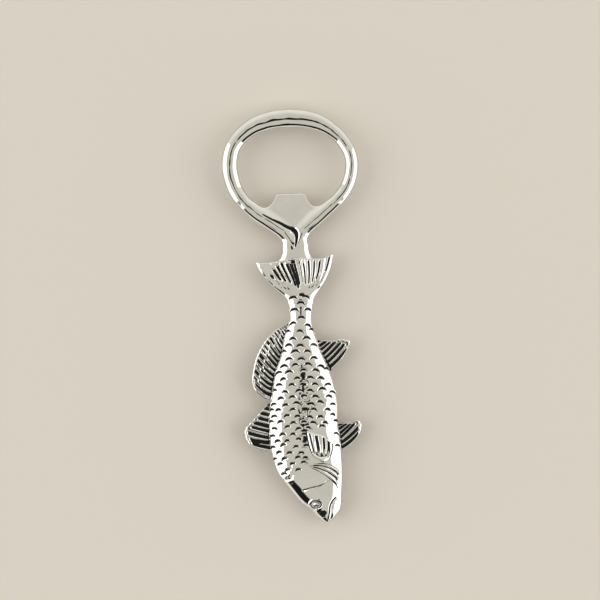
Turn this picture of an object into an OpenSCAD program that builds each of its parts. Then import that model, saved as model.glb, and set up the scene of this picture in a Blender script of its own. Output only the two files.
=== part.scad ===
// Fish-handled bottle opener, in millimetres.
// X runs across the opener, Y along it with the ring at +Y, and Z up from the surface that it
// lies on. The origin is on that surface, below the middle of the opener's length and of the
// ring's width. The fish lies on its right flank with its back towards -X and its snout at -Y.

/* [Ring] */
// Outer width of the ring
ring_w = 54.4; // [46:0.2:66]
// From the ring's widest line up to its outer top
ring_top = 22.8; // [19:0.2:28]
// From the ring's widest line down to where the two legs run side by side
ring_drop = 31.5; // [26.5:0.5:38]
// Width of the bar along the sides
bar_w = 5.9; // [4.9:0.1:7.2]
// Width of the bar at the ring's top, which presses on the cap
crown_w = 7.7; // [6.3:0.1:9.3]
// Thickness of the bar
bar_t = 4.8; // [4:0.1:5.8]

/* [Tongue] */
// Gap from the tongue's tip to the inside of the ring's top
cap_gap = 26; // [23:0.5:29]
// Width of the tongue's tip
tip_w = 11.4; // [9:0.2:14]
// Depth of the notch on each side of the tongue
notch_depth = 5.2; // [4.4:0.1:6.4]
// Width of each notch at its bottom
notch_w = 4.4; // [3.6:0.1:5.4]
// Thickness of the tongue
tongue_t = 3; // [2.2:0.1:3.8]

/* [Neck] */
// Width of the neck, across its two bars
neck_w = 9.6; // [8:0.1:11.6]
// Length of the neck between the ring's legs and the tail fin
neck_len = 5.4; // [4.4:0.1:8]
// Sideways place of the neck
neck_x = 1.2; // [0:0.1:2]
// Depth that the neck seats into the tail fin
neck_seat = 1.6; // [1.2:0.1:2.4]
// Width of the tang
tang_w = 4.6; // [3.6:0.1:5.4]
// Thickness of the tang
tang_t = 2.8; // [2.2:0.1:3.3]
// Length of the tang, from the tail fin's edge
tang_len = 23; // [19:0.5:28]

/* [Tail fin] */
// Length of the tail fin along its middle
tail_len = 15.6; // [13:0.2:18.8]
// Span between the two tips
tail_span = 31.4; // [26:0.2:38]
// Thickness at the trailing edge, which stands above the neck
tail_t = 5.6; // [4.8:0.1:6.6]
// Depth of the hollow in the trailing edge
tail_fork = 1; // [0.8:0.1:2.4]
// Turn of the tail fin from the opener's length, in degrees
tail_turn = 5; // [0:0.5:7]

/* [Fish body] */
// Length from the tail fin's root to the snout
body_len = 89.8; // [75:0.2:108]
// Depth from back to belly, at its widest
body_depth = 28.4; // [23.6:0.2:34]
// Thickness from flank to flank
body_t = 11.4; // [9.6:0.2:13.8]
// Thickness of the wrist in front of the tail fin
wrist_t = 6.8; // [5.8:0.2:8.4]
// Depth of the wrist in front of the tail fin
wrist_w = 9.4; // [8.2:0.2:11.4]
// Sideways place of the fish behind the neck
fish_x = 2.6; // [1:0.1:4]
// How far the snout drops towards the belly side
snout_drop = 7.7; // [5:0.1:9.4]

/* [Fins] */
// Thickness of the four edge fins
fin_t = 1.8; // [1.4:0.1:2.2]
// Depth of the fin roots in their slots
fin_root = 2.4; // [1.8:0.1:3]
// Height of the soft dorsal fin
soft_dorsal_h = 9.2; // [7.6:0.2:11.2]
// Height of the spiny dorsal fin
spiny_dorsal_h = 9.8; // [8:0.2:11.8]
// Height of the anal fin
anal_h = 12.6; // [10.4:0.2:15.2]
// Height of the pelvic fin
pelvic_h = 8.9; // [7.4:0.1:9.6]
// Width of the grooves between the fins' rays
groove_w = 0.5; // [0.4:0.1:0.7]
// Depth of those grooves
groove_d = 0.4; // [0.2:0.1:0.5]
// Grooves on each face of the tail fin
tail_grooves = 12; // [6:1:16]
// Length of each pectoral fin
pectoral_len = 13.2; // [11:0.2:16]
// How far each pectoral fin stands out past the flank
pectoral_proud = 0.8; // [0.6:0.1:1.4]

/* [Head] */
// How far each gill cover stands out from the head
gill_proud = 0.5; // [0.4:0.1:0.8]
// Width of the mouth's cleft
mouth_gap = 0.4; // [0.3:0.1:0.7]
// Diameter of the peg that holds the lower jaw
jaw_peg_d = 1.8; // [1.4:0.1:2.1]
// Depth that the lower jaw's peg goes into the head
jaw_peg_len = 4; // [3:0.5:5]
// Diameter of each eye
eye_d = 3.8; // [3.1:0.1:4.6]
// Diameter of the peg behind each eye
eye_peg_d = 2.2; // [1.8:0.1:2.6]
// Depth of each eye's socket
eye_peg_len = 1.8; // [1.4:0.1:2.2]

/* [Fits] */
// Clearance on each side of every seated piece
fit = 0.05; // [0.03:0.01:0.08]

/* [Hidden] */

nickel = "#c9c8c0";
bright_nickel = "#dcdbd4";
dark_nickel = "#77766f";

ring_steps = 40;     // sections in half of the ring
bar_sides = 16;      // corners of the bar's section
body_steps = 44;     // sections along the body
body_sides = 24;     // corners of the body's section
tail_steps = 8;      // sections along the tail fin
past = 60;           // reach of a cutting block beyond the opener

overall_len = ring_top + ring_drop + neck_len + tail_len + body_len;
ring_y = overall_len / 2 - ring_top;
legs_y = ring_y - ring_drop;
tail_edge_y = legs_y - neck_len;
root_y = tail_edge_y - tail_len;
mid_z = body_t / 2 + pectoral_proud;
tip_y = ring_y + ring_top - crown_w - cap_gap;

// Smooth curve through the points p, at share t of the way along them. The curve sets out from
// p[0] as if it had come from the point before it.
function blend(a, b, c, d, t) =
    0.5 * (2 * b + (c - a) * t + (2 * a - 5 * b + 4 * c - d) * t * t
        + (3 * b - a - 3 * c + d) * t * t * t);
function spline(p, t, before) =
    let (n = len(p) - 1, i = min(n - 1, floor(t * n)), f = t * n - i)
    blend(i > 0 ? p[i - 1] : is_undef(before) ? 2 * p[0] - p[1] : before, p[i], p[i + 1],
        i < n - 1 ? p[i + 2] : 2 * p[n] - p[n - 1], f);
function smooth(p, steps) = [for (k = [0:steps]) spline(p, k / steps)];

// One corner of a rounded section: power 2 is an ellipse, and more is squarer.
function signed_pow(v, e) = sign(v) * pow(abs(v), e);
function corner(half_w, half_t, angle, power) =
    [half_w * signed_pow(cos(angle), 2 / power), half_t * signed_pow(sin(angle), 2 / power)];

// Closed skin over a row of sections that all have the same number of corners.
module loft(sections) {
    n = len(sections[0]);
    rows = len(sections);
    polyhedron(
        points = [for (s = sections) each s],
        faces = [
            [for (j = [0:n - 1]) j],
            each [for (i = [0:rows - 2], j = [0:n - 1])
                let (a = i * n + j, b = i * n + (j + 1) % n)
                each [[a, a + n, b + n], [a, b + n, b]]],
            [for (j = [n - 1:-1:0]) (rows - 1) * n + j]
        ],
        convexity = 8);
}

// Turns a piece made for the upper flank, 1, over to the lower one, -1.
module on_flank(flank) {
    mirror([0, 0, flank > 0 ? 0 : 1]) children();
}

// ---- Ring ----

// Right half of the bar's centreline from the ring's top to the neck, each [x, y, half width].
side_x = (ring_w - bar_w) / 2;
leg_x = (neck_w - bar_w) / 2;
RAIL = [
    [0, ring_top - crown_w / 2, crown_w / 2],
    [side_x * 0.49, ring_top - 5.85, crown_w * 0.435],
    [side_x * 0.785, ring_top - 10.25, bar_w / 2],
    [side_x * 0.96, ring_top * 0.28, bar_w / 2],
    [side_x, -0.5, bar_w / 2],
    [side_x * 0.915, ring_drop * -0.263, bar_w / 2],
    [side_x * 0.718, ring_drop * -0.492, bar_w / 2],
    [side_x * 0.44, ring_drop * -0.67, bar_w / 2],
    [leg_x + side_x * 0.1, ring_drop * -0.835, bar_w / 2],
    [leg_x, -ring_drop, bar_w / 2]
];

// The bar runs level across the top, as if from its mirror image.
RAIL_BEFORE = [-RAIL[1][0], RAIL[1][1], RAIL[1][2]];

// The lower half of the rail leans over to the neck's sideways place.
function lean(y) = neck_x * pow(min(1, max(0, -y / ring_drop)), 2);

// Section of the bar across the rail at share t, grown by an extra width all round.
function bar_section(t, side, extra) =
    let (
        here = spline(RAIL, t, RAIL_BEFORE),
        step = spline(RAIL, min(1, t + 0.002), RAIL_BEFORE)
            - spline(RAIL, max(0, t - 0.002), RAIL_BEFORE),
        across = t == 0 ? [0, 1] : t == 1 ? [1, 0] : [-step[1], step[0]] / norm([step[0], step[1]])
    )
    [for (j = [0:bar_sides - 1])
        let (
            c = corner(here[2] + extra, bar_t / 2 + extra, side * j * 360 / bar_sides, 2.2),
            x = here[0] + across[0] * c[0],
            y = here[1] + across[1] * c[0]
        )
        [side * x + lean(y), ring_y + y, mid_z + c[1]]];

module half_ring(side, extra) {
    loft([for (k = [0:ring_steps]) bar_section(k / ring_steps, side, extra)]);
}

// Straight part of one leg, down to where the neck seats in the tail fin.
module neck_bar(side, extra) {
    foot_y = tail_edge_y - neck_seat - extra;
    loft([for (y = [legs_y, foot_y])
        [for (j = [0:bar_sides - 1])
            let (c = corner(bar_w / 2 + extra, bar_t / 2 + extra, side * j * 360 / bar_sides, 2.2))
            [neck_x + side * (leg_x + c[0]), y, mid_z + c[1]]]]);
}

module ring_loop(extra = 0) {
    for (side = [-1, 1]) {
        half_ring(side, extra);
        neck_bar(side, extra);
    }
}

module tang(extra = 0) {
    translate([neck_x - tang_w / 2 - extra, tail_edge_y - tang_len - extra,
        mid_z - tang_t / 2 - extra])
        cube([tang_w + 2 * extra, tang_len + 2 * extra, tang_t + 2 * extra]);
}

module opener_ring() {
    color(bright_nickel) {
        ring_loop();
        tang();
    }
}

// ---- Tongue ----

// Right half of the plate's outline, from the tip's middle round the notch and into the leg.
notch_y = tip_y - notch_depth;
notch_x = tip_w / 2 + notch_w * 0.5 + 2.2;
TONGUE_SIDE = [
    [tip_w / 2, tip_y],
    [tip_w / 2 + 1.2, tip_y - notch_depth * 0.45],
    [notch_x - notch_w / 2 + 0.6, notch_y + 1],
    [notch_x, notch_y],
    [notch_x + notch_w / 2, notch_y + 0.4],
    [notch_x + notch_w / 2 + 3, notch_y + 2.4]
];

module plate_outline() {
    side = smooth(TONGUE_SIDE, 20);
    polygon([
        each side,
        [leg_x + neck_x, legs_y + 3],
        [neck_x - leg_x, legs_y + 3],
        each [for (k = [len(side) - 1:-1:0]) [-side[k][0], side[k][1]]]
    ]);
}

module lifting_tongue() {
    color(nickel)
        difference() {
            translate([0, 0, mid_z - tongue_t / 2])
                linear_extrude(tongue_t) plate_outline();
            ring_loop(fit);
        }
}

// ---- Fish body ----

// Sections from the wrist's tail end to the snout, each
// [share of the length, sideways share of the snout's drop, half depth, half thickness].
BODY = [
    [0, 0, wrist_w * 0.64, wrist_t * 0.44],
    [0.05, 0, wrist_w * 0.52, wrist_t / 2],
    [0.1, -0.02, wrist_w / 2, wrist_t / 2],
    [0.18, -0.06, body_depth * 0.24, body_t * 0.36],
    [0.27, 0, body_depth * 0.33, body_t * 0.42],
    [0.36, 0.03, body_depth * 0.423, body_t * 0.47],
    [0.45, 0.04, body_depth * 0.475, body_t * 0.494],
    [0.54, 0, body_depth * 0.494, body_t / 2],
    [0.63, 0.04, body_depth / 2, body_t / 2],
    [0.72, 0.14, body_depth * 0.48, body_t * 0.49],
    [0.8, 0.36, body_depth * 0.412, body_t * 0.465],
    [0.86, 0.6, body_depth * 0.338, body_t * 0.42],
    [0.92, 0.86, body_depth * 0.25, body_t * 0.35],
    [0.965, 0.94, body_depth * 0.145, body_t * 0.27],
    [1, 1, body_depth * 0.03, body_t * 0.12]
];
BODY_LINE = smooth(BODY, body_steps);

function body_y(share) = root_y - share * body_len;
function centre_at(share) = fish_x + snout_drop * lookup(share, [for (b = BODY_LINE) [b[0], b[1]]]);
function half_depth_at(share) = lookup(share, [for (b = BODY_LINE) [b[0], b[2]]]);

// Whole body without slots or sockets, grown by an extra width all round.
module body_skin(extra = 0) {
    loft([for (b = BODY_LINE)
        [for (j = [0:body_sides - 1])
            let (c = corner(b[2] + extra, b[3] + extra, j * 360 / body_sides, 2.3))
            [fish_x + snout_drop * b[1] + c[0],
                body_y(b[0]) - (b[0] == 1 ? extra : 0), mid_z + c[1]]]]);
}

module fish_body() {
    color(nickel)
        difference() {
            body_skin();
            tang(fit);
            for (f = FINS) fin_slot(f);
            for (flank = [-1, 1]) eye_socket(flank, fit);
            jaw_block(mouth_gap, fit);
            jaw_peg(fit);
        }
}

// ---- Tail fin ----

// Sections from below the root to past the trailing edge, each
// [share of the length, half width, half thickness].
TAIL = [
    [-0.07, wrist_w * 0.6, wrist_t * 0.44],
    [0.13, wrist_w * 0.64 + tail_span * 0.036, wrist_t * 0.43],
    [0.38, tail_span * 0.345, tail_t * 0.42],
    [0.58, tail_span * 0.42, tail_t * 0.41],
    [0.78, tail_span * 0.468, tail_t * 0.45],
    [1.07, tail_span / 2, tail_t / 2]
];

module tail_fan() {
    fork_r = (pow(tail_span / 2, 2) + pow(tail_fork, 2)) / (2 * tail_fork);
    translate([fish_x, root_y, mid_z])
        rotate([0, 0, tail_turn])
            difference() {
                loft([for (k = [0:tail_steps])
                    let (s = spline(TAIL, k / tail_steps))
                    [for (j = [0:body_sides - 1])
                        let (c = corner(s[1], s[2], -j * 360 / body_sides, 2.6))
                        [c[0], s[0] * tail_len, c[1]]]]);
                translate([0, tail_len + fork_r - tail_fork / 2, 0])
                    cylinder(r = fork_r, h = tail_t * 4, center = true, $fn = 180);
            }
}

// Grooves that fan out from the root to the trailing edge on both faces, down to a level floor.
module tail_ray_grooves() {
    reach = tail_span * 0.9;
    floor_z = tail_t * 0.41 - groove_d;
    for (k = [0:tail_grooves - 1], flank = [-1, 1]) {
        end_x = reach * ((k + 0.5) / tail_grooves - 0.5);
        start = [end_x * 0.34, tail_len * 0.26];
        run = [end_x, tail_len * 1.06] - start;
        translate([fish_x, root_y, mid_z])
            rotate([0, 0, tail_turn])
                translate(start)
                    rotate([0, 0, atan2(run[1], run[0])])
                        on_flank(flank)
                            translate([0, -groove_w / 2, floor_z])
                                cube([norm(run), groove_w, tail_t]);
    }
}

module tail_fin() {
    color(bright_nickel)
        difference() {
            tail_fan();
            tail_ray_grooves();
            ring_loop(fit);
            tang(fit);
            translate([-past, root_y + fit - past, 0]) cube([2 * past, past, past]);
        }
}

// ---- Edge fins ----

// Each [start and end as shares of the body's length, height, side, outline, grooves on each face,
// lean of the grooves towards the tail in degrees]. The outline's points are [share of the root's
// length, share of the height] from the tail end to the head end.
soft_dorsal = [0.118, 0.45, soft_dorsal_h, -1,
    [[0, 0.02], [0.05, 0.4], [0.15, 0.7], [0.28, 0.91], [0.42, 1], [0.58, 0.96], [0.72, 0.9],
        [0.83, 0.8], [0.91, 0.54], [1, 0.02]], 19, 50];
spiny_dorsal = [0.463, 0.684, spiny_dorsal_h, -1,
    [[0, 0.05], [0.14, 0.26], [0.3, 0.54], [0.44, 0.82], [0.55, 0.97], [0.64, 1], [0.73, 0.9],
        [0.84, 0.74], [0.93, 0.42], [1, 0.02]], 9, 22];
anal = [0.188, 0.331, anal_h, 1,
    [[0, 0.02], [0, 0.2], [0.01, 0.5], [-0.01, 0.75], [0.05, 0.98], [0.16, 0.93], [0.48, 0.68],
        [0.76, 0.32], [1, 0.02]], 8, 58];
pelvic = [0.56, 0.6815, pelvic_h, 1,
    [[0, 0.02], [-0.02, 0.28], [-0.07, 0.58], [-0.13, 0.88], [-0.05, 1], [0.14, 0.99],
        [0.35, 0.88], [0.61, 0.62], [0.82, 0.3], [1, 0.02]], 6, 55];
FINS = [soft_dorsal, spiny_dorsal, anal, pelvic];

// Point on the body's edge at a share of its length, moved outwards.
function edge(share, side, out) =
    [centre_at(share) + side * (half_depth_at(share) + out), body_y(share)];

function root_line(fin, depth, slack) =
    let (ease = slack / body_len, run = fin[1] - fin[0] + 2 * ease)
    [for (k = [0:12]) edge(fin[0] - ease + run * k / 12, fin[3], -depth)];

// Grooves that leave the fin's rays standing between them on both faces.
module ray_grooves(fin) {
    side = fin[3];
    lean = fin[6];
    for (k = [0:fin[5] - 1], face = [-1, 1]) {
        start = edge(fin[0] + (fin[1] - fin[0]) * (k + 0.6) / fin[5], side, -groove_w);
        translate([start[0], start[1], mid_z + face * fin_t / 2])
            rotate([0, 0, side > 0 ? lean : 180 - lean])
                translate([0, -groove_w / 2, -groove_d])
                    cube([fin[2] * 2.4, groove_w, 2 * groove_d]);
    }
}

module fin_blade(fin) {
    blade = [for (p = smooth(fin[4], 30))
        edge(fin[0] + (fin[1] - fin[0]) * p[0], fin[3], fin[2] * max(0, p[1]))];
    root = root_line(fin, fin_root, 0);
    color(dark_nickel)
        difference() {
            translate([0, 0, mid_z - fin_t / 2])
                linear_extrude(fin_t)
                    polygon([each blade, each [for (k = [len(root) - 1:-1:0]) root[k]]]);
            ray_grooves(fin);
            tang(fit);
        }
}

module fin_slot(fin) {
    inner = root_line(fin, fin_root + fit, fit);
    outer = root_line(fin, -1, fit);
    translate([0, 0, mid_z - fin_t / 2 - fit])
        linear_extrude(fin_t + 2 * fit)
            polygon([each inner, each [for (k = [len(outer) - 1:-1:0]) outer[k]]]);
}

// ---- Flank and head pieces, flank 1 up and -1 down ----

pectoral_base = [fish_x + snout_drop * 0.12 + body_depth * 0.235, body_y(0.715)];
pectoral_turn = 28;   // degrees from the opener's length
LEAF = [[-0.1, 0], [-0.2, 0.2], [-0.21, 0.45], [-0.14, 0.75], [-0.02, 1], [0.17, 0.83],
    [0.4, 0.68], [0.5, 0.42], [0.43, 0.2], [0.22, 0], [0.08, -0.07], [-0.1, 0]];

module pectoral_fin(flank) {
    color(bright_nickel)
        difference() {
            translate([pectoral_base[0], pectoral_base[1], mid_z])
                on_flank(flank)
                    rotate([0, 0, pectoral_turn])
                        linear_extrude(body_t / 2 + pectoral_proud)
                            polygon(smooth(LEAF, 33) * pectoral_len);
            body_skin(fit);
        }
}

// Outline, each [share of the fish's depth, share of its length].
GILL = [[0.014, 0.736], [0.137, 0.731], [0.278, 0.747], [0.38, 0.788], [0.468, 0.842],
    [0.42, 0.866], [0.295, 0.858], [0.155, 0.824], [0.032, 0.779], [0.014, 0.736]];

module gill_cover(flank) {
    outline = [for (p = smooth(GILL, 36)) [fish_x + body_depth * p[0], body_y(p[1])]];
    color(bright_nickel)
        difference() {
            intersection() {
                translate([0, 0, flank > 0 ? mid_z : mid_z - body_t])
                    linear_extrude(body_t) polygon(outline);
                body_skin(gill_proud);
            }
            body_skin(fit);
        }
}

// Right side of the mouth's cleft, each [share of the length, share of the depth off centre].
MOUTH = [[1.03, 0.012], [0.976, 0.042], [0.944, 0.079], [0.912, 0.113], [0.884, 0.214]];

// Everything on the belly side of the cleft, widened by a gap along it and eased at the back.
module jaw_block(gap = 0, ease = 0) {
    reach = fish_x + body_depth;
    last = len(MOUTH) - 1;
    linear_extrude(mid_z * 2)
        polygon([
            for (k = [0:last])
                let (share = MOUTH[k][0])
                [centre_at(share) + body_depth * MOUTH[k][1] - gap,
                    body_y(share) + (k == last ? ease : 0)],
            [reach, body_y(MOUTH[last][0]) + ease],
            [reach, body_y(MOUTH[0][0])]
        ]);
}

module jaw_peg(slack = 0) {
    share = MOUTH[len(MOUTH) - 1][0];
    translate([centre_at(share) + body_depth * 0.255, body_y(share) - 1, mid_z])
        rotate([-90, 0, 0])
            cylinder(d = jaw_peg_d + 2 * slack, h = jaw_peg_len + 1 + slack, $fn = 32);
}

module lower_jaw() {
    color(nickel) {
        intersection() {
            body_skin();
            jaw_block();
        }
        jaw_peg();
    }
}

eye_share = 0.912;
eye_x = centre_at(eye_share) - half_depth_at(eye_share) * 0.33;
eye_y = body_y(eye_share);
eye_seat = body_t * 0.345;   // the eye's rim above the opener's middle plane

module eye_socket(flank, slack) {
    translate([eye_x, eye_y, mid_z])
        on_flank(flank)
            translate([0, 0, eye_seat - eye_peg_len - slack])
                cylinder(d = eye_peg_d + 2 * slack, h = eye_peg_len + body_t, $fn = 48);
}

module eye(flank) {
    ball_r = eye_d * 0.62;
    color(dark_nickel)
        difference() {
            translate([eye_x, eye_y, mid_z])
                on_flank(flank) {
                    intersection() {
                        translate([0, 0, eye_seat - ball_r * 0.45]) sphere(r = ball_r, $fn = 48);
                        translate([0, 0, eye_seat - 1]) cylinder(d = eye_d, h = 4, $fn = 48);
                    }
                    translate([0, 0, eye_seat - eye_peg_len])
                        cylinder(d = eye_peg_d, h = eye_peg_len, $fn = 48);
                }
            difference() {
                body_skin(fit);
                eye_socket(flank, 0);
            }
        }
}

opener_ring();
lifting_tongue();
tail_fin();
fish_body();
fin_blade(soft_dorsal);  // soft_dorsal_fin
fin_blade(spiny_dorsal);  // spiny_dorsal_fin
fin_blade(anal);  // anal_fin
fin_blade(pelvic);  // pelvic_fin
pectoral_fin(1);  // left_pectoral_fin
pectoral_fin(-1);  // right_pectoral_fin
gill_cover(1);  // left_gill_cover
gill_cover(-1);  // right_gill_cover
lower_jaw();
eye(1);  // left_eye
eye(-1);  // right_eye
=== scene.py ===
"""Fish-handled bottle opener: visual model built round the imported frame."""

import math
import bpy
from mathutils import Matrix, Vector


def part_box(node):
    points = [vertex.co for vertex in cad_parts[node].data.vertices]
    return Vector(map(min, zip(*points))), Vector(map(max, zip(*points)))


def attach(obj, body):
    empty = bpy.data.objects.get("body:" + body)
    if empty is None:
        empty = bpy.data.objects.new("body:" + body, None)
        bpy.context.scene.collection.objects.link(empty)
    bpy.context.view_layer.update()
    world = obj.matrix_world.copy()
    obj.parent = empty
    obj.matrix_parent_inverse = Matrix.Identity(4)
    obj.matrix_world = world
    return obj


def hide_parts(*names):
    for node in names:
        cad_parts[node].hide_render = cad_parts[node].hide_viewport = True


bl_info = {
    "name": "Fish-handled Bottle Opener",
    "version": (1, 0, 0),
    "blender": (4, 5, 0),
    "location": "View3D > Sidebar > Opener",
    "description": "Builds a cast, nickel-plated bottle opener in the shape of a fish",
    "category": "Add Mesh",
}

import bmesh
import bpy
import numpy as np
from bpy.props import FloatProperty, FloatVectorProperty, IntProperty, PointerProperty

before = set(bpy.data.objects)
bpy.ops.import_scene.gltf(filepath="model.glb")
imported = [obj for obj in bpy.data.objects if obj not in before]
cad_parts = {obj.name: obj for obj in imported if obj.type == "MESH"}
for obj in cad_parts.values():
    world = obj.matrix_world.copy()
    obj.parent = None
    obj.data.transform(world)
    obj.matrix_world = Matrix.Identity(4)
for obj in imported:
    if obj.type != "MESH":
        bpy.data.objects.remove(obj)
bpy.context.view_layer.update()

MM = 0.001
RING_LOW, RING_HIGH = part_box("opener_ring")
FISH_LOW, FISH_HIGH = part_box("fish_body")
RING_TOP = 22.8  # from the ring's widest line up to its outer top, mm
ORIGIN_Y = RING_HIGH.y / MM - RING_TOP  # the ring's widest line
MID_Z = (FISH_LOW.z + FISH_HIGH.z) / 2 / MM
PATINA_AND_SHADE = "patina_and_painted_shade"  # vertex attribute: 1 where black goes, for patina left in the hollows and for painted shade along the legs' crease, the fin roots, the side fins' edges and the eyes' feet


# ---------------------------------------------------------------- sizes and colours


class OpenerSizes(bpy.types.PropertyGroup):
    """Sizes of the opener's visible detail."""

    bar_thickness: FloatProperty(
        name="Bar thickness", description="Thickness of the ring's bar",
        default=4.8 * MM, unit="LENGTH", subtype="DISTANCE", precision=5)
    tongue_height: FloatProperty(
        name="Tongue height", description="Height of the tongue's root above the middle plane",
        default=1.55 * MM, unit="LENGTH", subtype="DISTANCE", precision=5)
    fillet: FloatProperty(
        name="Fillet", description="Reach of the fillet between the tongue and the bars",
        default=2.5 * MM, unit="LENGTH", subtype="DISTANCE", precision=5)
    fin_thickness: FloatProperty(
        name="Fin thickness", description="Thickness of the fins along the back and belly",
        default=1.8 * MM, unit="LENGTH", subtype="DISTANCE", precision=5)
    tail_rays: IntProperty(
        name="Tail rays", description="Rays on each face of the tail fin", default=11)
    scale_width: FloatProperty(
        name="Scale width", description="Width of a scale's mark near the tail",
        default=3.35 * MM, unit="LENGTH", subtype="DISTANCE", precision=5)
    scale_depth: FloatProperty(
        name="Scale depth", description="Depth of a scale's mark",
        default=0.34 * MM, unit="LENGTH", subtype="DISTANCE", precision=5)


class OpenerColours(bpy.types.PropertyGroup):
    """Colours of the plating, the black of its patina and of the painted shade, and the stage."""

    nickel: FloatVectorProperty(
        name="Nickel", description="Colour of the polished plating",
        default=(0.80, 0.79, 0.765), size=3, subtype="COLOR", min=0, max=1)
    nickel_deep: FloatVectorProperty(
        name="Nickel, shaded", description="Colour of the plating where it is less well polished",
        default=(0.70, 0.69, 0.655), size=3, subtype="COLOR", min=0, max=1)
    # Black for the patina in the hollows, and also for the painted shade at the crease, the fin roots,
    # the side fins' edges and the eyes' feet.
    black: FloatVectorProperty(
        name="Black of patina and painted shade", description="Colour of the black left in the recesses",
        default=(0.004, 0.0038, 0.0035), size=3, subtype="COLOR", min=0, max=1)
    floor: FloatVectorProperty(
        name="Floor", description="Colour of the floor",
        default=(0.69, 0.64, 0.575), size=3, subtype="COLOR", min=0, max=1)


# ---------------------------------------------------------------- curves and ramps


def ramp(value, low, high):
    """0 below low, 1 above high and a smooth rise between them."""
    t = np.clip((value - low) / (high - low), 0, 1)
    return t * t * (3 - 2 * t)


def smooth_curve(points, count):
    """count points spaced evenly along a smooth curve through the given ones."""
    p = np.asarray(points, float)
    p = np.vstack([2 * p[0] - p[1], p, 2 * p[-1] - p[-2]])
    t = np.linspace(0, 1, 24, endpoint=False)[:, None]
    parts = []
    for a, b, c, d in zip(p, p[1:], p[2:], p[3:]):
        parts.append(0.5 * (2 * b + (c - a) * t + (2 * a - 5 * b + 4 * c - d) * t**2
                            + (3 * b - a - 3 * c + d) * t**3))
    dense = np.vstack([*parts, p[-2:-1]])
    run = np.concatenate([[0], np.cumsum(np.linalg.norm(np.diff(dense[:, :2], axis=0), axis=1))])
    at = np.linspace(0, run[-1], count)
    return np.column_stack([np.interp(at, run, column) for column in dense.T])


def profile(stations, column, at):
    """A station list's column, smoothed, at the given places along it."""
    s = smooth_curve(stations, 600)
    order = np.argsort(s[:, 0])
    return np.interp(at, s[order, 0], s[order, column])


def ripples(x, y, size, seed, octaves=2):
    """Gentle, seeded unevenness between -1 and 1, as a hand-finished casting has."""
    rng = np.random.default_rng(seed)
    out = np.zeros(np.broadcast(x, y).shape)
    for octave in range(octaves):
        for _ in range(5):
            angle, phase = rng.uniform(0, 2 * math.pi, 2)
            k = 2 * math.pi / (size / 2**octave * rng.uniform(0.8, 1.3))
            out = out + np.sin(k * (x * math.cos(angle) + y * math.sin(angle)) + phase) / 2**octave
    return out / (5 * 1.5)


# ---------------------------------------------------------------- materials


class NodeSums:
    """Adds small sums to a node tree."""

    def __init__(self, tree):
        self.tree = tree

    def put(self, socket, value):
        """Links a node's output to the socket, or sets the socket to a constant."""
        if isinstance(value, (int, float, tuple)):
            socket.default_value = value
        else:
            self.tree.links.new(value, socket)

    def do(self, operation, *values):
        """Sum of one kind on one or two values."""
        node = self.tree.nodes.new("ShaderNodeMath")
        node.operation = operation
        for socket, value in zip(node.inputs, values):
            self.put(socket, value)
        return node.outputs[0]

    def spread(self, value, low, high, to_low=0.0, to_high=1.0, smooth=False):
        """The value's range from low to high, spread over another range."""
        node = self.tree.nodes.new("ShaderNodeMapRange")
        node.interpolation_type = "SMOOTHSTEP" if smooth else "LINEAR"
        for key, number in (("From Min", low), ("From Max", high),
                            ("To Min", to_low), ("To Max", to_high), ("Value", value)):
            self.put(node.inputs[key], number)
        return node.outputs["Result"]

    def rise(self, value, low, high):
        """0 below low, 1 above high and a smooth rise between them."""
        return self.spread(value, low, high, smooth=True)

    def fall(self, value, low, high):
        """1 below low, 0 above high and a smooth fall between them."""
        return self.do("SUBTRACT", 1.0, self.rise(value, low, high))

    def between(self, value, low, high, soft):
        """1 between low and high, with soft ends."""
        return self.do("MULTIPLY", self.rise(value, low - soft, low + soft),
                       self.fall(value, high - soft, high + soft))

    def blend(self, factor, a, b):
        """Mix of two colours."""
        node = self.tree.nodes.new("ShaderNodeMix")
        node.data_type = "RGBA"
        for key, value in (("Factor", factor), ("A", a), ("B", b)):
            self.put(node.inputs[key], value)
        return node.outputs["Result"]


def plating_group():
    """Node group: worn bright plating, with black for the patina left in the hollows and for painted
    shade.
    """
    name = "Plating wear and painted shade"
    if name in bpy.data.node_groups:
        return bpy.data.node_groups[name]
    group = bpy.data.node_groups.new(name, "ShaderNodeTree")
    for key, kind in (("Bright", "Color"), ("Shaded", "Color"), ("Black", "Color"),
                      ("Patina and painted shade", "Float"), ("Polish", "Float")):
        group.interface.new_socket(name=key, in_out="INPUT", socket_type="NodeSocket" + kind)
    for key, kind in (("Colour", "Color"), ("Roughness", "Float"), ("Metal", "Float"),
                      ("Height", "Float")):
        group.interface.new_socket(name=key, in_out="OUTPUT", socket_type="NodeSocket" + kind)
    nodes, links = group.nodes, group.links
    given = nodes.new("NodeGroupInput")
    result = nodes.new("NodeGroupOutput")
    place = nodes.new("ShaderNodeTexCoord")
    sums = NodeSums(group)
    do, spread = sums.do, sums.spread

    def noise(scale, detail):
        n = nodes.new("ShaderNodeTexNoise")
        n.inputs["Scale"].default_value = scale
        n.inputs["Detail"].default_value = detail
        links.new(place.outputs["Object"], n.inputs["Vector"])
        return n.outputs["Fac"]

    cloud = noise(160.0, 3.0)
    grain = noise(2600.0, 4.0)
    edge_break = spread(noise(1500.0, 3.0), 0.3, 0.7, -0.22, 0.22)
    black = spread(do("ADD", given.outputs["Patina and painted shade"], edge_break), 0.36, 0.60)
    metal_colour = sums.blend(spread(cloud, 0.35, 0.7, 0.0, 0.55),
                              given.outputs["Bright"], given.outputs["Shaded"])
    links.new(sums.blend(black, metal_colour, given.outputs["Black"]), result.inputs["Colour"])
    haze = do("ADD", given.outputs["Polish"], spread(grain, 0.3, 0.8, 0.0, 0.03))
    links.new(do("ADD", haze, do("MULTIPLY", black, 0.42)), result.inputs["Roughness"])
    links.new(do("SUBTRACT", 1.0, black), result.inputs["Metal"])
    links.new(do("ADD", do("MULTIPLY", noise(420.0, 2.0), 0.25), do("MULTIPLY", grain, black)),
              result.inputs["Height"])
    return group


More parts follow.
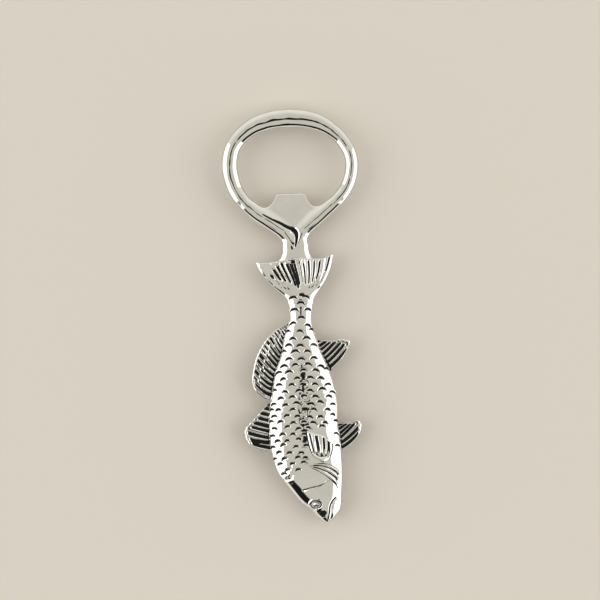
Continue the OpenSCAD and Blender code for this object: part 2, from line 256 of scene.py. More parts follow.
def plated_metal(name, polish, bump):
    """Nickel plate over a casting, polished on what stands out, with black patina in what doesn't and
    painted shade where the mask puts it.
    """
    if name in bpy.data.materials:
        return bpy.data.materials[name]
    colours = bpy.context.scene.opener_colours
    material = bpy.data.materials.new(name)
    material.use_nodes = True
    nodes, links = material.node_tree.nodes, material.node_tree.links
    shader = nodes["Principled BSDF"]
    wear = nodes.new("ShaderNodeGroup")
    wear.node_tree = plating_group()
    shader.inputs["Specular IOR Level"].default_value = 0.18
    patina_and_shade = nodes.new("ShaderNodeAttribute")
    patina_and_shade.attribute_name = PATINA_AND_SHADE
    relief = nodes.new("ShaderNodeBump")
    relief.inputs["Strength"].default_value = bump
    relief.inputs["Distance"].default_value = 0.00004
    wear.inputs["Bright"].default_value = (*colours.nickel, 1)
    wear.inputs["Shaded"].default_value = (*colours.nickel_deep, 1)
    wear.inputs["Black"].default_value = (*colours.black, 1)
    wear.inputs["Polish"].default_value = polish
    links.new(patina_and_shade.outputs["Fac"], wear.inputs["Patina and painted shade"])
    links.new(wear.outputs["Colour"], shader.inputs["Base Color"])
    links.new(wear.outputs["Roughness"], shader.inputs["Roughness"])
    links.new(wear.outputs["Metal"], shader.inputs["Metallic"])
    links.new(wear.outputs["Height"], relief.inputs["Height"])
    links.new(relief.outputs["Normal"], shader.inputs["Normal"])
    return material


def polished_nickel():
    return plated_metal("Polished plating", 0.012, 0.05)


def antiqued_nickel():
    return plated_metal("Black-antiqued plating", 0.02, 0.10)


# ---------------------------------------------------------------- mesh building


def add_piece(name, points, faces, patina_and_shade, material, normals=None):
    """A piece from points in millimetres round the ring's widest line, riding on the frame."""
    mesh = bpy.data.meshes.new(name)
    mesh.from_pydata((np.asarray(points) + (0, ORIGIN_Y, MID_Z)) * MM, [], faces)
    mesh.attributes.new(PATINA_AND_SHADE, "FLOAT", "POINT").data.foreach_set(
        "value", np.asarray(patina_and_shade, np.float32))
    if normals is None:
        work = bmesh.new()
        work.from_mesh(mesh)
        bmesh.ops.remove_doubles(work, verts=work.verts, dist=1e-7)
        bmesh.ops.dissolve_degenerate(work, edges=work.edges, dist=1e-7)
        bmesh.ops.recalc_face_normals(work, faces=work.faces)
        work.to_mesh(mesh)
        work.free()
    mesh.polygons.foreach_set("use_smooth", np.ones(len(mesh.polygons), bool))
    if normals is not None:
        mesh.normals_split_custom_set_from_vertices(normals)
    mesh.materials.append(material)
    mesh.validate()
    made = bpy.data.objects.new(name, mesh)
    bpy.context.scene.collection.objects.link(made)
    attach(made, "root")
    return made


def sheet_mesh(xy, height, patina_and_shade, walls, lift=None):
    """Closed solid between +height and -height over a grid of places.

    walls says which of the grid's four sides (first row, last row, first column, last column) end
    in an upright wall; the others already thin out to nothing. With lift the lower face is lift
    below the upper one instead of its mirror image.
    """
    first, last, left, right = walls
    pad = ((int(first), int(last)), (int(left), int(right)))
    x, y, z, black = (np.pad(a, pad, mode="edge") for a in (xy[..., 0], xy[..., 1], height, patina_and_shade))
    under = -z if lift is None else np.pad(lift, pad, mode="edge")
    rows, columns = z.shape
    rim = np.zeros(z.shape, bool)
    rim[[0, -1], :] = True
    rim[:, [0, -1]] = True
    middle = (z + under) / 2
    z, under = np.where(rim, middle, z), np.where(rim, middle, under)
    top = np.arange(rows * columns).reshape(rows, columns)
    bottom = np.where(rim, top, top + rows * columns)
    points = np.vstack([np.column_stack([x.ravel(), y.ravel(), z.ravel()]),
                        np.column_stack([x.ravel(), y.ravel(), under.ravel()])])
    faces = []
    for index, flip in ((top, False), (bottom, True)):
        quads = np.stack([index[:-1, :-1], index[1:, :-1], index[1:, 1:], index[:-1, 1:]], -1)
        faces.append(quads.reshape(-1, 4)[:, ::-1] if flip else quads.reshape(-1, 4))
    faces = np.vstack(faces)
    used, again = np.unique(faces, return_inverse=True)
    return points[used], again.reshape(faces.shape).tolist(), np.tile(black.ravel(), 2)[used]


def patch(start_side, end_side, first_side, last_side, u, v, hold=1.0):
    """Places inside four curves. u runs from start_side to end_side, v along them. A higher hold
    keeps the bow of the two sides nearer to them."""
    def at(curve, t):
        curve = np.asarray(curve)
        run = np.linspace(0, 1, len(curve))
        return np.column_stack([np.interp(t, run, curve[:, i]) for i in (0, 1)])
    s0, s1, c0, c1 = at(start_side, v), at(end_side, v), at(first_side, u), at(last_side, u)
    uu, vv = u[:, None, None], v[None, :, None]
    bow0 = s0[None] - (1 - vv) * s0[0] - vv * s0[-1]
    bow1 = s1[None] - (1 - vv) * s1[0] - vv * s1[-1]
    between = (1 - vv) * c0[:, None] + vv * c1[:, None]
    return between + (1 - uu) ** hold * bow0 + uu**hold * bow1


def level_skin(field, low, high, step):
    """Closed skin where field is zero, with every point pulled exactly on to it.

    field takes x, y, z arrays that broadcast together and is negative inside.
    Returns points, faces and unit normals.
    """
    axes = [np.arange(a, b + step, step) for a, b in zip(low, high)]
    value = field(axes[0][:, None, None], axes[1][None, :, None], axes[2][None, None, :])
    shape = np.array(value.shape) - 1
    total = np.zeros((*shape, 3))
    hits = np.zeros(shape)
    corners = [(i, j, k) for i in (0, 1) for j in (0, 1) for k in (0, 1)]
    block = {c: value[c[0]:c[0] + shape[0], c[1]:c[1] + shape[1], c[2]:c[2] + shape[2]]
             for c in corners}
    for a in corners:
        for axis in range(3):
            if a[axis]:
                continue
            b = tuple(1 if i == axis else a[i] for i in range(3))
            crossing = (block[a] < 0) != (block[b] < 0)
            t = np.where(crossing, block[a] / np.where(crossing, block[a] - block[b], 1), 0)
            hits += crossing
            for i in range(3):
                total[..., i] += crossing * (a[i] + (t if i == axis else 0))
    cells = np.argwhere(hits > 0)
    number = np.full(shape, -1)
    number[tuple(cells.T)] = np.arange(len(cells))
    start = np.array([a[0] for a in axes])
    points = start + (cells + total[tuple(cells.T)] / hits[tuple(cells.T)][:, None]) * step
    points, normals = pull_on(field, points, step)
    return points, cell_faces(value < 0, number), normals


def cell_faces(inside, number):
    """Squares between numbered cells, wherever a grid line enters or leaves the inside."""
    shape = number.shape
    faces = []
    for axis in range(3):
        b, c = (axis + 1) % 3, (axis + 2) % 3
        here = np.take(inside, range(shape[axis]), axis)
        there = np.take(inside, range(1, shape[axis] + 1), axis)
        for i, j, k in np.argwhere(here != there):
            spot = [i, j, k]
            if not (0 < spot[b] < shape[b] and 0 < spot[c] < shape[c]):
                continue
            ring = []
            for db, dc in ((0, 0), (-1, 0), (-1, -1), (0, -1)):
                cell = list(spot)
                cell[b] += db
                cell[c] += dc
                ring.append(int(number[tuple(cell)]))
            faces.append(ring if here[i, j, k] else ring[::-1])
    return faces


def pull_on(field, points, step):
    """Moves points on to the surface where field is zero, and gives the normals there."""
    small = 0.01
    for _ in range(3):
        x, y, z = points.T
        f = field(x, y, z)
        slope = np.column_stack([field(x + small, y, z) - f, field(x, y + small, z) - f,
                                 field(x, y, z + small) - f]) / small
        size = np.maximum((slope**2).sum(1), 1e-6)
        move = -slope * (f / size)[:, None]
        reach = np.maximum(np.linalg.norm(move, axis=1), 1e-9)
        points = points + move * np.minimum(1, 0.5 * step / reach)[:, None]
    return points, slope / np.sqrt(size)[:, None]


# ---------------------------------------------------------------- ring and tongue

# Middle line of the bar, from the neck's left side round the ring to its right side: x, y and
# half width. The left side is the stouter one.
LOOP_LEFT = [(-0.75, -41, 2.85), (-0.75, -37, 2.85), (-0.75, -33, 2.85), (-1.2, -29.8, 2.9),
             (-3.4, -26.5, 2.95), (-8.2, -22.7, 2.95), (-14.0, -18.6, 2.95), (-17.7, -14.9, 2.95),
             (-20.7, -11.2, 3.0), (-22.6, -7.3, 3.05), (-23.8, -2.5, 3.15), (-24.05, 1.5, 3.2),
             (-23.3, 6.0, 3.15), (-21.6, 9.6, 3.15), (-19.0, 12.6, 3.3), (-15.6, 15.2, 3.5),
             (-11.8, 17.0, 3.65), (-6.2, 18.5, 3.8), (0, 18.95, 3.85)]
LOOP_RIGHT = [(0, 18.95, 3.85), (6.2, 18.4, 3.75), (11.2, 17.0, 3.55), (15.0, 15.0, 3.25),
              (19.2, 11.7, 2.9), (22.0, 8.1, 2.75), (23.8, 4.4, 2.7), (24.45, 0.5, 2.7),
              (24.2, -2.8, 2.7), (23.3, -6.4, 2.7), (21.7, -9.7, 2.7), (19.3, -12.8, 2.75),
              (16.2, -15.9, 2.75), (12.0, -19.6, 2.75), (7.6, -23.3, 2.75), (4.7, -26.2, 2.75),
              (3.4, -29.4, 2.75), (3.3, -33, 2.75), (3.3, -37, 2.8), (3.3, -41, 2.8)]
# The neck: distance along -Y, middle, half width, half height as a share of the bar's.
NECK = [(23.5, 1.0, 0.4, 0.30), (26.5, 1.1, 1.6, 0.42), (29.5, 1.2, 3.4, 0.66),
        (31.5, 1.25, 4.7, 0.82), (33.5, 1.25, 4.85, 0.90), (35.0, 1.3, 5.5, 0.95),
        (36.3, 1.3, 6.3, 0.99), (37.4, 1.25, 7.0, 1.0), (41, 1.25, 7.6, 0.90)]
# The tongue's upper edge, from the left bar round both notches to the right bar.
TONGUE_EDGE = [(-17.4, -14.0), (-15.4, -14.3), (-13.6, -15.2), (-12.2, -16.0), (-10.7, -16.25),
               (-9.2, -15.8), (-8.1, -14.9), (-7.25, -13.7), (-6.55, -12.4), (-6.1, -11.5),
               (-5.5, -10.98), (-4.4, -10.9), (0, -10.85), (4.0, -10.85), (5.0, -10.95),
               (5.65, -11.5), (6.15, -12.5), (6.75, -13.9), (7.6, -15.1), (8.7, -15.95),
               (10.0, -16.2), (11.6, -15.95), (13.3, -15.2), (15.2, -14.2), (17.8, -13.6)]


def to_path(path, x, y):
    """Distance from each place to a path of x, y and half width, and the half width there."""
    shape = np.broadcast(x, y).shape
    at = np.column_stack([np.broadcast_to(v, shape).ravel() for v in (x, y)])
    a, run = path[:-1], np.diff(path, axis=0)
    length = (run[:, :2] ** 2).sum(1)
    stride = max(1, len(a) // 40)
    near, wide = [], []
    for part in np.array_split(at, max(1, len(at) // 20_000)):
        rough = ((part[:, None, :] - path[None, ::stride, :2]) ** 2).sum(-1).argmin(1) * stride
        k = np.clip(rough[:, None] + np.arange(-stride - 2, stride + 2), 0, len(a) - 1)
        off = part[:, None, :] - a[k, :2]
        t = np.clip((off * run[k, :2]).sum(-1) / length[k], 0, 1)
        gap = off - t[..., None] * run[k, :2]
        d = np.sqrt((gap**2).sum(-1))
        best = d.argmin(1)
        row = np.arange(len(part))
        kb = k[row, best]
        near.append(d[row, best])
        wide.append(a[kb, 2] + t[row, best] * run[kb, 2])
    return np.concatenate(near).reshape(shape), np.concatenate(wide).reshape(shape)


def inside_of(outline, x, y):
    """Signed distance from a closed outline, negative inside it."""
    closed = np.vstack([outline, outline[:1]])
    closed = np.column_stack([closed, np.zeros(len(closed))])
    d, _ = to_path(closed, x, y)
    shape = d.shape
    px, py = (np.broadcast_to(v, shape).ravel() for v in (x, y))
    within = np.zeros(px.shape, bool)
    for (ax, ay, _), (bx, by, _) in zip(closed, closed[1:]):
        if ay != by:
            cut = ax + (py - ay) * (bx - ax) / (by - ay)
            within ^= ((ay > py) != (by > py)) & (px < cut)
    return np.where(within.reshape(shape), -d, d)


def smooth_min(a, b, reach):
    """The lesser of two fields, blended where they are within reach of each other."""
    h = np.maximum(reach - np.abs(a - b), 0) / np.maximum(reach, 1e-6)
    return np.minimum(a, b) - h * h * reach / 4


# The crease between the two legs: x, y and half width.
CREASE = [(-11.6, -18.9, 0.2), (-8.4, -20.8, 0.35), (-5.0, -22.5, 0.5), (-1.9, -24.3, 0.75),
          (0.5, -25.4, 1.0), (1.7, -27.0, 0.95), (1.75, -29.2, 0.7), (1.2, -32.0, 0.3)]


def crease(x, y):
    """1 along the crease where the legs meet, falling to 0 at its sides."""
    d, wide = to_path(smooth_curve(CREASE, 80), x, y)
    return 1 - ramp(d / wide, 0.25, 1.25)


class BarField:
    """The two bars and the neck that they run into, as one field."""

    def __init__(self, half_thickness):
        self.thick = half_thickness
        self.left = smooth_curve(LOOP_LEFT, 360)
        self.right = smooth_curve(LOOP_RIGHT, 360)
        self.neck = np.asarray(NECK)

    def bar(self, path, x, y, z):
        d, wide = to_path(path, x, y)
        power = 2.15
        thick = self.thick * (1 - 0.2 * ramp(-y, 26, 34))
        ratio = ((d / wide) ** power + (np.abs(z) / thick) ** power) ** (1 / power)
        worn = 0.11 * ripples(x, y, 9, 3) * ramp(np.abs(z), 0.6, 1.8)
        return (ratio - 1) * thick + worn

    def __call__(self, x, y, z):
        legs = smooth_min(self.bar(self.left, x, y, z), self.bar(self.right, x, y, z),
                          0.9 * ramp(-y, 20, 26))
        at = np.clip(-y, self.neck[0, 0], self.neck[-1, 0])
        middle, wide, high = (profile(self.neck, i, at) for i in (1, 2, 3))
        power = 2.5
        ratio = ((np.abs(x - middle) / np.maximum(wide, 0.3)) ** power
                 + (np.abs(z) / (self.thick * high)) ** power) ** (1 / power)
        neck = np.maximum((ratio - 1) * self.thick, (self.neck[0, 0] + y))
        both = smooth_min(legs, neck, 1.3)
        return np.maximum(both + 0.5 * crease(x, y), -39.0 - y)


def ring_bar():
    """The ring, its two legs and the neck that goes under the tail fin."""
    thick = bpy.context.scene.opener_sizes.bar_thickness / MM / 2
    field = BarField(thick)
    points, faces, normals = level_skin(
        field, (-28.1, -40.2, -thick - 0.6), (28.1, 23.6, thick + 0.6), 0.36)
    # Painted shade: the crease between the legs is coloured black, standing in for its shade and dark
    # reflection.
    black = ramp(crease(points[:, 0], points[:, 1]), 0.3, 0.6)
    return points, faces, black, normals


def tongue_plate():
    """The lifting tongue and the web behind it, filleted into the bars."""
    sizes = bpy.context.scene.opener_sizes
    bars = BarField(sizes.bar_thickness / MM / 2)
    low, reach = sizes.tongue_height / MM, sizes.fillet / MM
    edge = smooth_curve(TONGUE_EDGE, 120)
    legs = [(16.2, -15.9), (12.0, -19.6), (7.6, -23.3), (4.7, -26.2), (3.4, -29.4), (1.2, -31),
            (-1.2, -29.8), (-3.4, -26.5), (-8.2, -22.7), (-14.0, -18.6), (-17.7, -14.9)]
    outline = np.vstack([edge, smooth_curve(legs, 60)])

    def field(x, y, z):
        side = inside_of(outline, x, y)
        rounding = 0.75
        height = low - 0.062 * (y + 24) + 0.02 * ripples(x, y, 9, 4)
        dip = ramp(y, -27, -24.6)
        height = height * (0.62 + 0.38 * dip)
        over = np.abs(z) - height + rounding
        across = side + rounding
        plate = (np.minimum(np.maximum(across, over), 0)
                 + np.hypot(np.maximum(across, 0), np.maximum(over, 0)) - rounding)
        joined = smooth_min(plate + 0.5 * crease(x, y), bars(x, y, z) + 0.10, reach)
        return np.maximum(joined, side - 1.8)

    points, faces, normals = level_skin(field, (-20, -33.5, -2.9), (20, -9.6, 2.9), 0.3)
    # Painted shade: the crease between the legs is coloured black, standing in for its shade and dark
    # reflection.
    black = ramp(crease(points[:, 0], points[:, 1]), 0.3, 0.6)
    return points, faces, black, normals


# ---------------------------------------------------------------- fish body

# Distance along -Y from the ring's widest line, middle, half depth, half thickness, the section's
# squareness, and the share of it that makes a soft ridge along the middle.
BODY = [(51.0, 2.75, 5.0, 2.4, 2.1, 0), (53.0, 2.7, 5.1, 2.75, 2.1, 0),
        (55.5, 2.65, 5.05, 3.03, 2.1, 0), (57.0, 2.6, 4.9, 3.1, 2.3, 0.08),
        (61.0, 2.45, 4.65, 3.3, 2.3, 0.08), (65.0, 2.05, 5.55, 3.75, 2.7, 0.22),
        (69.0, 2.05, 6.85, 4.2, 2.75, 0.24), (73.0, 2.35, 7.85, 4.6, 2.7, 0.24),
        (77.0, 2.55, 9.35, 4.95, 2.66, 0.24), (81.0, 2.6, 10.9, 5.2, 2.66, 0.24),
        (85.0, 2.8, 12.0, 5.4, 2.66, 0.24), (89.0, 2.9, 12.8, 5.55, 2.66, 0.24),
        (93.0, 2.9, 13.5, 5.65, 2.66, 0.24), (97.0, 2.6, 13.9, 5.7, 2.66, 0.24),
        (101.0, 2.4, 14.0, 5.7, 2.66, 0.24), (105.0, 2.55, 14.05, 5.7, 2.66, 0.24),
        (109.0, 2.8, 14.3, 5.7, 2.7, 0.24), (113.0, 3.2, 14.2, 5.65, 2.7, 0.22),
        (117.0, 3.7, 13.6, 5.55, 2.35, 0.08), (121.0, 4.4, 12.8, 5.4, 2.15, 0),
        (125.0, 5.6, 11.5, 5.15, 2.2, 0), (129.0, 6.95, 9.85, 4.8, 2.15, 0),
        (133.0, 8.35, 8.15, 4.35, 2.05, 0), (135.5, 9.4, 6.75, 4.0, 1.95, 0),
        (137.2, 10.1, 5.5, 3.6, 1.9, 0), (139.0, 10.4, 4.1, 3.0, 1.85, 0),
        (140.8, 10.55, 2.5, 2.25, 1.8, 0), (141.7, 10.6, 1.4, 1.65, 1.8, 0)]
SNOUT = 142.15  # where the snout ends
HEAD_START, HEAD_FULL = 108.0, 123.0  # the head's bevelled rim grows in between these
RIM_WALL = 1.75  # half height of the upright wall round the head
BEVEL = 1.1  # width of the bevel inside that wall
SHOULDER = 2.3  # width of the slope inside the bevel, which flattens out


class FishShape:
    """Outline and thickness of the fish at any place along it."""

    def __init__(self):
        dense = np.linspace(BODY[0][0], BODY[-1][0], 900)
        self.along = dense
        self.columns = [profile(BODY, i, dense) for i in range(1, 6)]

    def at(self, along):
        """Middle, half depth, half thickness, squareness and ridge, rounded off at the snout."""
        middle, deep, thick, square, ridge = (np.interp(along, self.along, c) for c in self.columns)
        left = np.clip((SNOUT - along) / (SNOUT - BODY[-1][0]), 0, 1)
        blunt = np.sqrt(np.where(along > BODY[-1][0], left, 1))
        return middle, deep * blunt, thick * blunt, square, ridge

    @staticmethod
    def section(u, square, ridge=0.0):
        """Share of the half thickness at a share of the half depth."""
        u = np.clip(u, 0, 1)
        return (1 - ridge) * (1 - u**square) ** (1 / square) + ridge * (1 - u**1.5)

    def height(self, x, y):
        """Half thickness of the fish over a place."""
        middle, deep, thick, square, ridge = self.at(-y)
        share = np.abs(x - middle) / np.maximum(deep, 1e-3)
        return self.half_height(share, -y, deep, thick, square, ridge)

    def half_height(self, share, along, deep, thick, square, ridge):
        """Half thickness at a share of the half depth; the head has a bevelled rim."""
        share = np.clip(share, 0, 1)
        body = thick * self.section(share, square, ridge)
        deep = np.maximum(deep, 1e-3)
        inward = (1 - share) * deep
        inward = inward * (1 - (1 - share) ** 6 / 7)
        wall = RIM_WALL * np.sqrt(1 - np.clip(1 - inward / 0.3, 0, 1) ** 2)
        turn = np.clip(inward - BEVEL, 0, SHOULDER)
        crown = np.maximum(inward - BEVEL - SHOULDER, 0)
        head = (wall + 0.70 * np.minimum(inward, BEVEL) + 0.58 * turn - 0.061 * turn**2
                + 3.0 * (1 - np.exp(-crown / 10)))
        return body + (head - body) * ramp(along, HEAD_START, HEAD_FULL)


FISH = FishShape()


def scale_marks(seed=11):
    """Place, width and turn of every scale's mark, in uneven rows from the tail to the gills."""
    widest = bpy.context.scene.opener_sizes.scale_width / MM
    rng = np.random.default_rng(seed)
    marks = []
    along, row = 49.4, 0
    while along < 124.5:
        grown = np.clip((along - 62) / 48, 0, 1)
        pitch = 5.3 - 1.0 * grown
        middle, deep, *_ = FISH.at(max(along, BODY[0][0]))
        count = int(2 * deep * 1.08 / pitch) + 1
        for k in range(-count, count + 1):
            x = middle + (k + (0.5 if row % 2 else 0)) * pitch + rng.normal(0, 0.32)
            y = -along + rng.normal(0, 0.34)
            if abs(x - middle) > deep * 0.955 or no_room(x, y):
                continue
            width = (widest - 0.95 * grown) * rng.uniform(0.85, 1.12)
            lean = -0.30 * (x - middle) / max(deep, 1) + rng.normal(0, 0.12)
            marks.append((x, y, width, lean))
        along += 2.75 - 0.42 * grown
        row += 1
    return marks


def no_room(x, y):
    """True where the head's smooth skin, the gills or the side fin leave no room for a scale."""
    gill_line = -117.4 - 0.62 * (7.0 - x) if x < 7.0 else -117.4 + 0.15 * (x - 7.0)
    if y < gill_line:
        return True
    fin_top = -104.2
    return 2.6 < x < 14.6 and -118 < y < fin_top and x > 2.2 + 0.28 * (fin_top - y)


def mark_relief(x, y, marks, depth):
    """Lowering of the skin and blackness that the scales' marks give at each place."""
    drop = np.zeros(x.shape)
    black = np.zeros(x.shape)
    flat_x, flat_y = x.ravel(), y.ravel()
    order = np.argsort(flat_y)
    sorted_y = flat_y[order]
    out_drop, out_black = drop.ravel(), black.ravel()
    for mx, my, width, lean in marks:
        reach = width * 0.85
        lo, hi = np.searchsorted(sorted_y, (my - reach, my + reach))
        near = order[lo:hi]
        near = near[np.abs(flat_x[near] - mx) < reach]
        if not len(near):
            continue
        dx, dy = flat_x[near] - mx, flat_y[near] - my
        c, s = math.cos(lean), math.sin(lean)
        lx, ly = dx * c + dy * s, -dx * s + dy * c
        radius = width * 0.6
        r = np.hypot(lx, ly + radius * 0.7)
        angle = np.abs(np.arctan2(lx, ly + radius * 0.7))
        stroke = 0.44 + 0.05 * width
        taper = 1 - ramp(angle, 0.35, 1.12)
        edge = np.abs(r - radius) / (stroke * (0.25 + 0.75 * taper))
        cut = (1 - ramp(edge, 0.35, 1.05)) * (taper > 0.02)
        swell = 0.03 * (1 - ramp(r / radius, 0.2, 0.95))
        out_drop[near] = np.maximum(out_drop[near], cut * depth * (0.4 + 0.6 * taper))
        out_drop[near] -= np.where(cut > 0.01, 0, swell * 0.5)
        out_black[near] = np.maximum(out_black[near], cut)
    return out_drop.reshape(x.shape), out_black.reshape(x.shape)


def groove_along(x, y, line, width):
    """1 in the bottom of a groove that follows a line, falling to 0 at its sides."""
    path = smooth_curve([(*p, 1.0) for p in line], 40)
    d, _ = to_path(path, x, y)
    return 1 - ramp(d / width, 0.35, 1.0)


MOUTH = [(10.9, -141.2), (11.35, -139.4), (11.75, -137.4), (12.05, -135.2), (13.0, -133.2),
         (14.3, -131.9)]
CHEEK_FOLD = [(1.6, -128.7), (5.2, -127.6), (9.0, -126.7), (11.6, -125.1)]
NOSTRILS = [(9.55, -137.3, 0.42), (9.15, -139.3, 0.36)]
EYE_AT = (6.5, -134.3)
EYE_RADIUS = 1.9
EYE_SQUASH = 0.74  # the eye's reach along the fish, as a share of its reach across


def bump_at(x, y, centre, spread):
    """1 at a place, falling off round it."""
    return np.exp(-(((x - centre[0]) / spread[0]) ** 2 + ((y - centre[1]) / spread[1]) ** 2))


def skin_unevenness(x, y, middle, deep, upward):
    """Height of the waves, the worn patch and the scar that a hand-finished casting keeps."""
    uneven = 0.055 * ripples(x, y, 11, 21) * ramp(upward, 0.3, 0.9) * ramp(-y, 60, 75)
    worn = bump_at(x, y, (3.2, -93), (2.9, 11))
    uneven = uneven + 0.06 * ripples(x, y, 3.4, 8) * worn
    uneven = uneven - 0.085 * np.exp(-(((x - middle) / 1.7) ** 2)) * worn
    uneven = uneven + 0.16 * ripples(x, y, 2.6, 9) * bump_at(x, y, (-3.6, -120.5), (2.0, 3.6))
    hollow = np.exp(-((x - middle + 0.36 * deep) / 1.3) ** 2)
    return uneven - 0.13 * hollow * ramp(-y, 82, 92) * (1 - ramp(-y, 108, 118))


def skin_grooves(x, y, upward):
    """1 in the mouth, the worn curls, the cheek's fold, the nostrils and the ring round the eye."""
    cut = groove_along(x, y, MOUTH, 0.42) * ramp(upward, 0.0, 0.1)
    curls = 1 - ramp(np.abs(ripples(x, y, 4.4, 17)), 0.035, 0.11)
    curls = curls * ramp(bump_at(x, y, (3.3, -92.5), (2.1, 7.5)), 0.30, 0.5)
    cut = np.maximum(cut, 0.75 * curls * ramp(upward, 0.5, 0.8))
    cut = np.maximum(cut, 0.5 * groove_along(x, y, CHEEK_FOLD, 0.34))
    for nx, ny, radius in NOSTRILS:
        pit = 1 - ramp(np.hypot(x - nx, y - ny) / radius, 0.4, 1.0)
        cut = np.maximum(cut, pit * 0.8)
    return np.maximum(cut, 1 - ramp(np.abs(eye_share(x, y) - 1.06) / 0.18, 0.4, 1.0))


def eye_share(x, y):
    """Distance from the eye's middle as a share of its reach."""
    return np.hypot(x - EYE_AT[0], (y - EYE_AT[1]) / EYE_SQUASH) / EYE_RADIUS


def snout_black(x, y, middle, deep, upward):
    """Black left on the snout between the eye, the rim and the mouth."""
    amount = bump_at(x, y, (9.2, -137.9), (1.7, 1.5)) + 0.20 * ripples(x, y, 1.7, 23)
    amount = amount * ramp(deep - np.abs(x - middle), 0.8, 1.2) * (1 - ramp(x, 11.0, 11.4))
    return ramp(amount, 0.42, 0.58) * ramp(upward, 0.1, 0.3)


def fish_skin():
    """The fish from the tail's root to the snout, with its scales, mouth and eye sockets."""
    sizes = bpy.context.scene.opener_sizes
    tip = 139.5  # from here to the snout the rows crowd together
    crowding = np.linspace(0, math.pi / 2, 22)[1:-1]
    rows = np.concatenate([np.arange(BODY[0][0], tip, 0.235),
                           SNOUT - (SNOUT - tip) * np.cos(crowding) ** 1.6])
    around = 232
    angle = np.arange(around) / around * 2 * math.pi
    middle, deep, thick, square, ridge = (v[:, None] for v in FISH.at(rows))
    c, s = np.cos(angle)[None, :], np.sin(angle)[None, :]
    share = np.sign(c) * np.abs(c) ** (2 / np.clip(square, 1.9, 2.3))
    x = middle + deep * share
    y = np.broadcast_to(-rows[:, None], x.shape)
    z = FISH.half_height(np.abs(share), rows[:, None], deep, thick, square, ridge) * np.sign(s)
    upward = np.clip(np.abs(z) / thick, 0, 1)
    drop, black = mark_relief(x, y, scale_marks(), sizes.scale_depth / MM)
    keep = ramp(upward, 0.12, 0.32)
    drop, black = drop * keep, black * keep
    cut = skin_grooves(x, y, upward)
    brow = 0.10 * (1 - ramp(np.abs(eye_share(x, y) - 1.3) / 0.45, 0.0, 1.0))
    relief = drop + 0.42 * cut - skin_unevenness(x, y, middle, deep, upward) - brow
    # The relief moves the skin along the section's normal, which leans outwards at the edges.
    along_x = np.roll(x, -1, 1) - np.roll(x, 1, 1)
    along_z = np.roll(z, -1, 1) - np.roll(z, 1, 1)
    size = np.maximum(np.hypot(along_x, along_z), 1e-9)
    x = x - relief * along_z / size
    z = z + relief * along_x / size
    black = np.maximum(np.maximum(black, cut), snout_black(x, y, middle, deep, upward))
    count = len(rows)
    points = np.column_stack([x.ravel(), y.ravel(), z.ravel()])
    index = np.arange(count * around).reshape(count, around)
    right = np.roll(index, -1, 1)
    quads = np.stack([index[:-1], right[:-1], right[1:], index[1:]], -1).reshape(-1, 4)
    ends = np.array([[middle[0, 0], -rows[0], 0], [BODY[-1][1], -SNOUT, 0]])
    points = np.vstack([points, ends])
    faces = quads.tolist()
    last = count * around
    for here, there, before, after in zip(index[0], right[0], index[-1], right[-1]):
        faces.append([last, int(there), int(here)])
        faces.append([last + 1, int(before), int(after)])
    return points, faces, np.concatenate([black.ravel(), [0, 0]])


# ---------------------------------------------------------------- tail fin

TAIL_LEFT = [(-2.75, -55.0), (-2.9, -53.5), (-4.3, -51.8), (-6.9, -49.3), (-9.6, -46.4),
             (-12.3, -43.0), (-14.0, -40.2), (-15.0, -37.9)]
TAIL_RIGHT = [(8.0, -55.0), (8.1, -53.5), (9.0, -51.6), (10.7, -49.1), (12.7, -45.8),
              (14.7, -41.6), (15.6, -38.6), (16.3, -35.3)]
TAIL_EDGE = [(-15.0, -37.9), (-12.3, -38.25), (-9.1, -38.1), (-5.1, -37.45), (-1.1, -36.8),
             (2.9, -36.55), (7.0, -36.95), (10.8, -37.05), (13.4, -36.5), (16.3, -35.3)]
# The tail's grooves: share across at the edge and near the root, begin, end and half width.
TAIL_GROOVES = [(-0.77, -0.70, 0.60, 0.76, 0.050), (-0.63, -0.50, 0.55, 0.86, 0.052),
                (-0.49, -0.38, 0.50, 0.92, 0.050), (-0.36, -0.24, 0.46, 0.96, 0.045),
                (-0.235, -0.10, 0.37, 0.93, 0.050), (-0.135, -0.01, 0.32, 0.985, 0.060),
                (-0.04, 0.06, 0.40, 0.975, 0.040), (0.10, 0.17, 0.44, 0.96, 0.018),
                (0.20, 0.27, 0.40, 0.97, 0.026), (0.34, 0.39, 0.42, 0.97, 0.030),
                (0.49, 0.50, 0.46, 0.96, 0.026), (0.64, 0.60, 0.52, 0.96, 0.032),
                (0.89, 0.80, 0.66, 0.99, 0.034)]
TAIL_ROOT = [(-2.75, -55.0), (2.6, -55.0), (8.0, -55.0)]


def crowded(straight, count, extra):
    """Shares from 0 to 1: count even ones up to straight, then extra ones that crowd to the end."""
    return np.concatenate([np.linspace(0, straight, count),
                           straight + (1 - straight) * np.sin(np.linspace(0, math.pi / 2, extra)[1:])])


